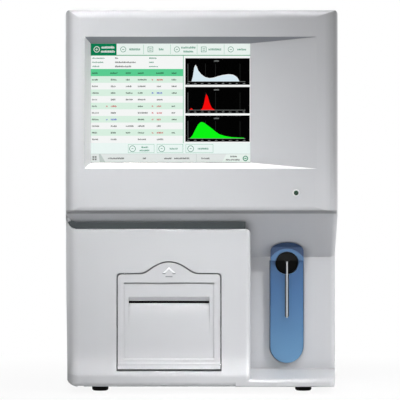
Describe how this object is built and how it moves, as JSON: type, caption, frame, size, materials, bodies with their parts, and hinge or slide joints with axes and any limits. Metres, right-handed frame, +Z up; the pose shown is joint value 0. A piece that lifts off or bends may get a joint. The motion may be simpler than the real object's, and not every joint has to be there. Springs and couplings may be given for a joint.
{
  "type": "benchtop hematology analyzer",
  "caption": "Upright benchtop blood analyzer with a recessed touch screen, a slip printer behind a hinged door and an open niche with a sample probe over a start key.",
  "frame": {"origin": "middle of the bounding box in X and Y, on the plane that the feet stand on", "axes": "+X to the right seen from the front, +Y from the front to the rear, +Z up; the screen faces -Y"},
  "size_m": [0.361, 0.43, 0.506],
  "materials": {
    "silver_plastic": "satin silver-grey moulding",
    "painted_steel": "fine-textured light grey powder coat",
    "zinc_steel": "zinc-plated sheet",
    "black_plastic": "matte",
    "blue_plastic": "glossy blue moulding",
    "grey_plastic": "matte",
    "rubber": "matte",
    "screen_glass": "glossy",
    "polished_steel": "polished",
    "brass": "turned",
    "board_green": "solder mask",
    "paper": null,
    "clear_acrylic": "polished clear",
    "green_lens": "tinted lens"
  },
  "bodies": {
    "casing": {"front_cover": "silver_plastic", "left_side_cover": "painted_steel", "right_side_cover": "painted_steel", "top_cover": "painted_steel", "rear_panel": "painted_steel", "base_plate": "zinc_steel", "foot_front_left": "rubber", "foot_front_right": "rubber", "foot_rear_left": "rubber", "foot_rear_right": "rubber", "indicator_lamp": "green_lens", "touch_glass": "screen_glass", "display_module": "grey_plastic", "display_bracket": "zinc_steel", "door_hinge_pin": "polished_steel", "printer_bucket": "grey_plastic", "thermal_head": "zinc_steel", "printer_motor": "zinc_steel", "probe_hood": "blue_plastic", "start_key_spring": "polished_steel", "start_switch_board": "board_green", "wiper_block": "black_plastic", "left_guide_rod": "polished_steel", "right_guide_rod": "polished_steel", "lift_frame": "zinc_steel", "lift_belt": "rubber", "lift_motor": "black_plastic", "inner_frame": "zinc_steel", "electronics_shelf": "zinc_steel", "wbc_bath": "clear_acrylic", "rbc_bath": "clear_acrylic", "bath_stand": "zinc_steel", "syringe_frame": "zinc_steel", "syringe_motor": "black_plastic", "diluent_syringe_barrel": "clear_acrylic", "sample_syringe_barrel": "clear_acrylic", "valve_manifold": "clear_acrylic", "vacuum_pump": "grey_plastic", "waste_pump": "grey_plastic", "main_board": "board_green", "power_supply": "zinc_steel", "fan_frame": "black_plastic", "power_inlet": "black_plastic", "switch_housing": "black_plastic", "interface_ports": "grey_plastic", "hose_fittings": "grey_plastic"},
    "door": {"printer_door": "silver_plastic"},
    "platen": {"platen_roller": "rubber", "platen_gear": "grey_plastic"},
    "printer_drive": {"printer_drive_gear": "brass"},
    "roll": {"paper_roll": "paper"},
    "key": {"start_key": "blue_plastic"},
    "probe": {"probe_carriage": "grey_plastic", "sample_probe": "polished_steel"},
    "upper_pulley": {"drive_pulley": "zinc_steel"},
    "lower_pulley": {"idler_pulley": "zinc_steel"},
    "plungers": {"plunger_bridge": "grey_plastic"},
    "screw": {"syringe_screw": "brass"},
    "fan": {"fan_rotor": "black_plastic"},
    "rocker": {"rocker_switch": "black_plastic"}
  },
  "joints": [
    {"name": "door_hinge", "type": "hinge", "parent": "casing", "child": "door", "pos_m": [-0.04335, -0.20259, 0.0365], "axis": [1, 0, 0], "range_deg": [0, 85]},
    {"name": "platen_turn", "type": "hinge", "parent": "door", "child": "platen", "pos_m": [-0.04335, -0.19116, 0.1175], "axis": [1, 0, 0], "continuous": true},
    {"name": "printer_drive_turn", "type": "hinge", "parent": "casing", "child": "printer_drive", "pos_m": [-0.10665, -0.17686, 0.1175], "axis": [1, 0, 0], "continuous": true},
    {"name": "roll_turn", "type": "hinge", "parent": "casing", "child": "roll", "pos_m": [-0.04335, -0.151, 0.0823], "axis": [1, 0, 0], "continuous": true},
    {"name": "key_press", "type": "slide", "parent": "casing", "child": "key", "axis": [0, 1, 0], "range_m": [0, 0.003], "stiffness_N_per_m": 200, "springref_m": -0.003, "deforming": ["start_key_spring"]},
    {"name": "probe_lift", "type": "slide", "parent": "casing", "child": "probe", "axis": [0, 0, 1], "range_m": [0, 0.078]},
    {"name": "drive_pulley_turn", "type": "hinge", "parent": "casing", "child": "upper_pulley", "pos_m": [0.1458, -0.13, 0.322], "axis": [0, 1, 0], "range_deg": [0, 600]},
    {"name": "idler_pulley_turn", "type": "hinge", "parent": "casing", "child": "lower_pulley", "pos_m": [0.1458, -0.13, 0.208], "axis": [0, 1, 0], "range_deg": [0, 600]},
    {"name": "plunger_stroke", "type": "slide", "parent": "casing", "child": "plungers", "axis": [0, 0, 1], "range_m": [0, 0.048]},
    {"name": "screw_turn", "type": "hinge", "parent": "casing", "child": "screw", "pos_m": [0.01, -0.05, 0.1], "axis": [0, 0, 1], "range_deg": [0, 1750]},
    {"name": "fan_turn", "type": "hinge", "parent": "casing", "child": "fan", "pos_m": [0.1, 0.186, 0.43], "axis": [0, 1, 0], "continuous": true},
    {"name": "rocker_tilt", "type": "hinge", "parent": "casing", "child": "rocker", "pos_m": [-0.08, 0.201, 0.066], "axis": [1, 0, 0], "range_deg": [-24, 0]}
  ],
  "couplings": [
    {"joint": "printer_drive_turn", "follows": "platen_turn", "ratio": -1.3333},
    {"joint": "drive_pulley_turn", "follows": "probe_lift", "rad_per_m": 133.33},
    {"joint": "idler_pulley_turn", "follows": "probe_lift", "rad_per_m": 133.33},
    {"joint": "screw_turn", "follows": "plunger_stroke", "rad_per_m": 628.32}
  ]
}
